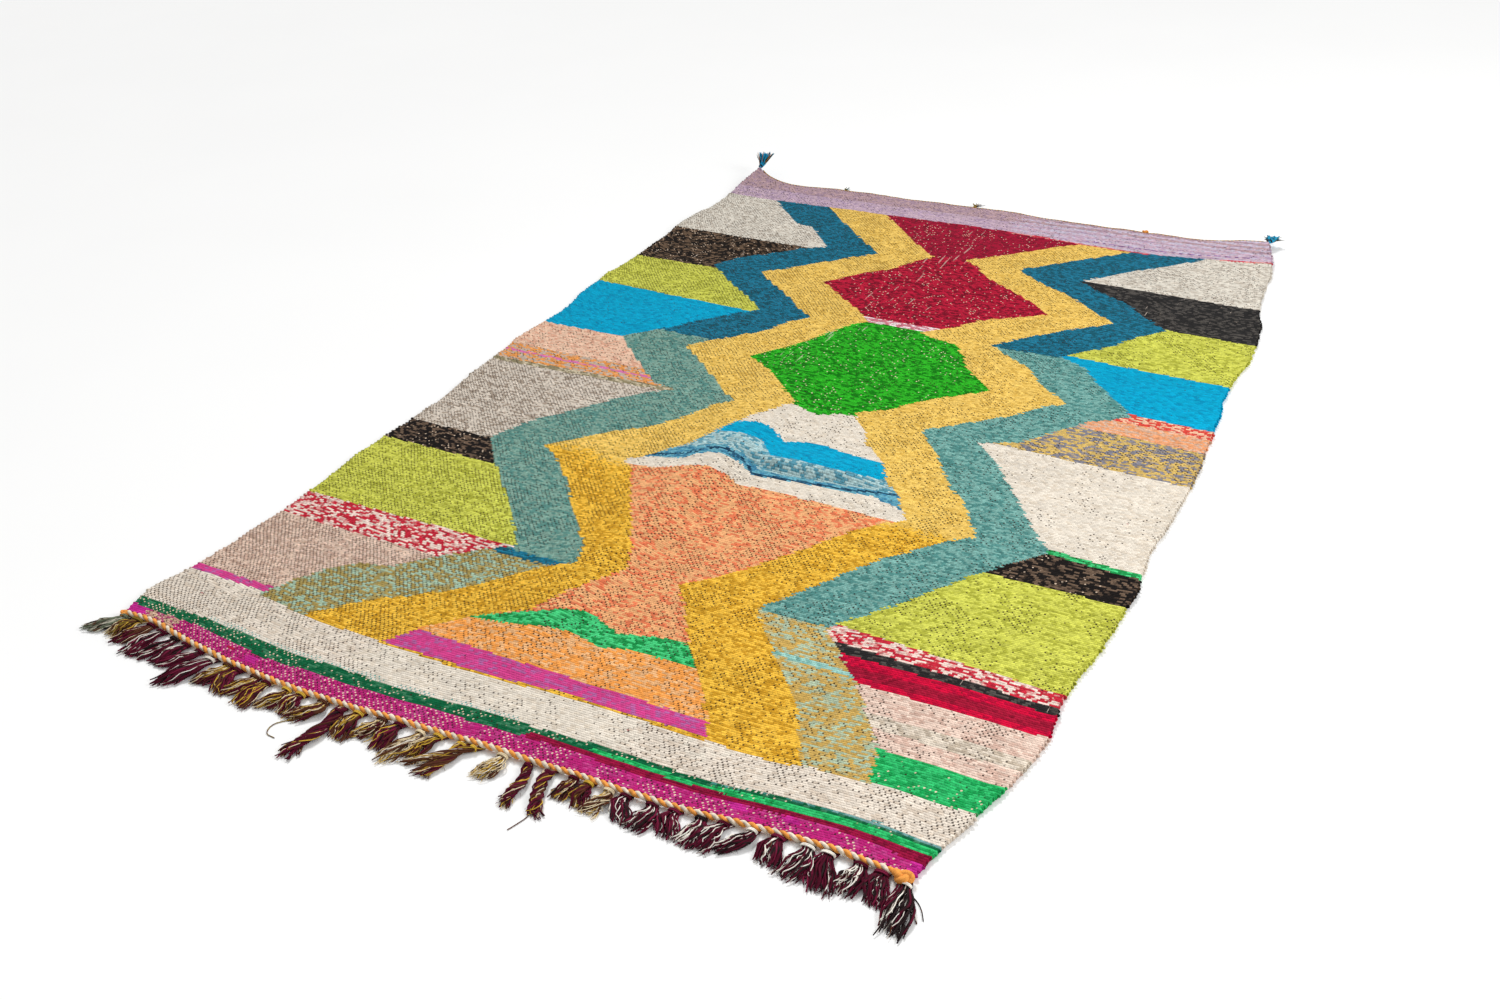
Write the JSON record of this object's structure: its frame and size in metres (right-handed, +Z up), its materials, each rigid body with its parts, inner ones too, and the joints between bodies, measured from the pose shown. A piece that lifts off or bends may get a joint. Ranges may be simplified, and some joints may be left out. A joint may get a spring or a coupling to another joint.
{
  "type": "flat-woven rag rug",
  "caption": "Flat-woven rag rug lying on a floor with soft folds, curled far corners, a twined end cord and a knotted fringe at one end.",
  "frame": {"origin": "on the floor, under the middle of the part's box", "axes": "+X along the weft to the right, +Y along the warp from the fringed end to the plain end, +Z up off the floor"},
  "size_m": [1.6602, 2.5804, 0.063],
  "materials": {
    "woven_rag": "matte weft-faced flat weave of cotton rag and wool, many colours",
    "fringe_yarn": "loose plied yarn, matte, maroon, cream, black and olive mixed",
    "end_cord": "soft orange and cream roving, twined, matte",
    "edge_thread": "thin twined yarn, matte",
    "tassel_rag": "torn cotton rag and yarn, matte"
  },
  "bodies": {
    "root": {"rug_cloth": "woven_rag", "edge_cord_fringe": "fringe_yarn", "far_edge_thread": "edge_thread", "tassel_far_left": "tassel_rag", "tassel_far_right": "tassel_rag"}
  },
  "joints": []
}
